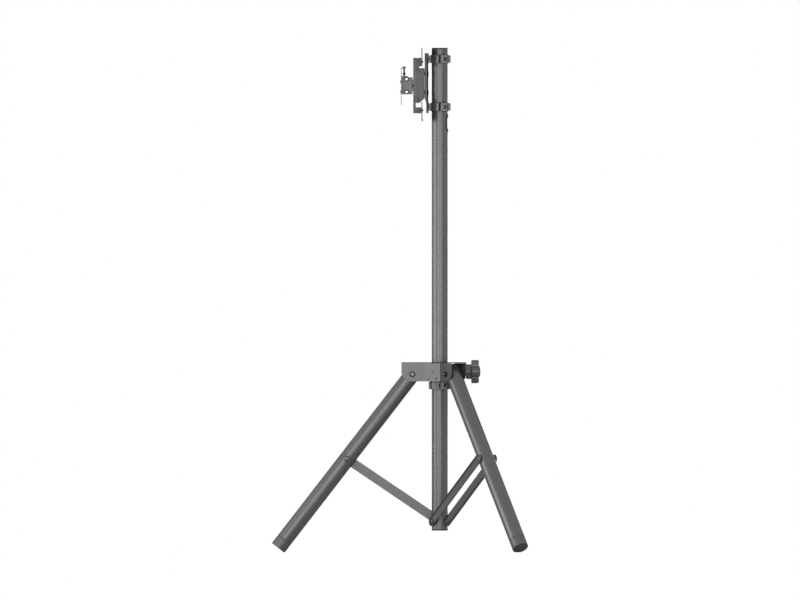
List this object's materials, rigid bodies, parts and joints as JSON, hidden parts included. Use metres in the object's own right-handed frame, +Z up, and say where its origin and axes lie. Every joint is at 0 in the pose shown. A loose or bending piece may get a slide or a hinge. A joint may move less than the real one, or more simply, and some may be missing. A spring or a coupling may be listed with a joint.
{
  "type": "display floor stand",
  "caption": "Folding tripod floor stand with a single pole, a sliding hub with a clamping knob, and a small tilting and turning plate for a flat screen at the top.",
  "frame": {"origin": "on the floor, under the middle of the footprint", "axes": "+Z up along the pole, -X towards the side the screen faces, +Y to the left of someone who faces the screen"},
  "size_m": [0.7963, 0.9114, 1.569],
  "materials": {
    "powder_coat": "satin charcoal powder coat",
    "black_plastic": "moulded black plastic",
    "rubber": "matt black rubber",
    "dark_steel": "blackened steel",
    "bright_steel": "zinc-plated steel"
  },
  "bodies": {
    "column": {"column_tube": "powder_coat", "column_top_cap": "black_plastic", "column_bottom_cap": "black_plastic", "cable_grommet": "black_plastic", "front_brace_pivot_bolt": "bright_steel", "rear_right_brace_pivot_bolt": "bright_steel", "rear_left_brace_pivot_bolt": "bright_steel", "stop_collar_front": "powder_coat", "stop_collar_rear": "powder_coat", "stop_collar_screw_left": "dark_steel", "stop_collar_screw_right": "dark_steel"},
    "hub": {"hub_top_plate": "powder_coat", "hub_side_plate_a": "powder_coat", "hub_side_plate_b": "powder_coat", "hub_side_plate_c": "powder_coat", "hub_guide_bush": "black_plastic", "front_leg_pivot_bolt": "bright_steel", "rear_right_leg_pivot_bolt": "bright_steel", "rear_left_leg_pivot_bolt": "bright_steel", "clamp_nut": "dark_steel"},
    "clamp_pad": {"clamp_pad": "rubber"},
    "knob": {"clamp_stud": "bright_steel", "knob_head": "black_plastic"},
    "front_leg": {"front_leg_tube": "powder_coat", "front_foot_cap": "rubber", "front_brace_bolt": "dark_steel"},
    "rear_right_leg": {"rear_right_leg_tube": "powder_coat", "rear_right_foot_cap": "rubber", "rear_right_brace_bolt": "dark_steel"},
    "rear_left_leg": {"rear_left_leg_tube": "powder_coat", "rear_left_foot_cap": "rubber", "rear_left_brace_bolt": "dark_steel"},
    "front_brace": {"front_brace": "powder_coat"},
    "rear_right_brace": {"rear_right_brace": "powder_coat"},
    "rear_left_brace": {"rear_left_brace": "powder_coat"},
    "clamp_liners": {"upper_clamp_liner": "rubber", "lower_clamp_liner": "rubber"},
    "screen_mount": {"upper_clamp_front": "powder_coat", "upper_clamp_rear": "powder_coat", "upper_clamp_screw_left": "dark_steel", "upper_clamp_screw_right": "dark_steel", "lower_clamp_front": "powder_coat", "lower_clamp_rear": "powder_coat", "lower_clamp_screw_left": "dark_steel", "lower_clamp_screw_right": "dark_steel", "upper_pole_plate_screw": "bright_steel", "lower_pole_plate_screw": "bright_steel", "pole_plate": "powder_coat", "mount_channel": "powder_coat", "hook_bracket": "powder_coat", "upper_rail": "powder_coat", "lower_rail": "powder_coat"},
    "swivel_head": {"swivel_washer": "black_plastic", "tilt_yoke": "powder_coat", "swivel_bolt": "dark_steel", "pivot_rivet": "dark_steel"},
    "tilt_head": {"plate_cradle": "powder_coat", "guide_rivet": "dark_steel", "screen_plate": "powder_coat", "lock_screw": "dark_steel"}
  },
  "joints": [
    {"name": "hub_rise", "type": "slide", "parent": "column", "child": "hub", "axis": [0, 0, 1], "range_m": [0, 0.2122]},
    {"name": "front_leg_fold", "type": "hinge", "parent": "hub", "child": "front_leg", "pos_m": [0.03845, 0, 0.55403], "axis": [0, -1, 0], "range_deg": [0, 37.69]},
    {"name": "rear_right_leg_fold", "type": "hinge", "parent": "hub", "child": "rear_right_leg", "pos_m": [0.16595, -0.07361, 0.55403], "axis": [0.866, 0.5, 0], "range_deg": [0, 37.69]},
    {"name": "rear_left_leg_fold", "type": "hinge", "parent": "hub", "child": "rear_left_leg", "pos_m": [0.16595, 0.07361, 0.55403], "axis": [-0.866, 0.5, 0], "range_deg": [0, 37.69]},
    {"name": "front_brace_fold", "type": "hinge", "parent": "column", "child": "front_brace", "pos_m": [0.12345, 0, 0.0955], "axis": [0, 1, 0], "range_deg": [0, 41.83]},
    {"name": "rear_right_brace_fold", "type": "hinge", "parent": "column", "child": "rear_right_brace", "pos_m": [0.12345, 0, 0.0955], "axis": [-0.866, -0.5, 0], "range_deg": [0, 41.83]},
    {"name": "rear_left_brace_fold", "type": "hinge", "parent": "column", "child": "rear_left_brace", "pos_m": [0.12345, 0, 0.0955], "axis": [0.866, -0.5, 0], "range_deg": [0, 41.83]},
    {"name": "pad_press", "type": "slide", "parent": "hub", "child": "clamp_pad", "axis": [1, 0, 0], "range_m": [0, 0.003]},
    {"name": "knob_turn", "type": "hinge", "parent": "clamp_pad", "child": "knob", "pos_m": [0.22345, 0, 0.56203], "axis": [1, 0, 0], "range_deg": [0, 720]},
    {"name": "mount_height", "type": "slide", "parent": "column", "child": "clamp_liners", "axis": [0, 0, 1], "range_m": [-0.008, 0.015]},
    {"name": "mount_turn", "type": "hinge", "parent": "clamp_liners", "child": "screen_mount", "pos_m": [0.12345, 0, 1.4595], "axis": [0, 0, 1], "continuous": true},
    {"name": "head_swivel", "type": "hinge", "parent": "screen_mount", "child": "swivel_head", "pos_m": [0.04105, 0, 1.4517], "axis": [1, 0, 0], "range_deg": [-90, 90]},
    {"name": "head_tilt", "type": "hinge", "parent": "swivel_head", "child": "tilt_head", "pos_m": [0.02045, 0, 1.4716], "axis": [0, -1, 0], "range_deg": [-5, 10]}
  ],
  "couplings": [
    {"joint": "front_leg_fold", "follows": "hub_rise", "rad_per_m": 3.0993},
    {"joint": "rear_right_leg_fold", "follows": "hub_rise", "rad_per_m": 3.0993},
    {"joint": "rear_left_leg_fold", "follows": "hub_rise", "rad_per_m": 3.0993},
    {"joint": "front_brace_fold", "follows": "hub_rise", "rad_per_m": 3.4394},
    {"joint": "rear_right_brace_fold", "follows": "hub_rise", "rad_per_m": 3.4394},
    {"joint": "rear_left_brace_fold", "follows": "hub_rise", "rad_per_m": 3.4394},
    {"joint": "pad_press", "follows": "knob_turn", "m_per_rad": 0.00023873}
  ]
}
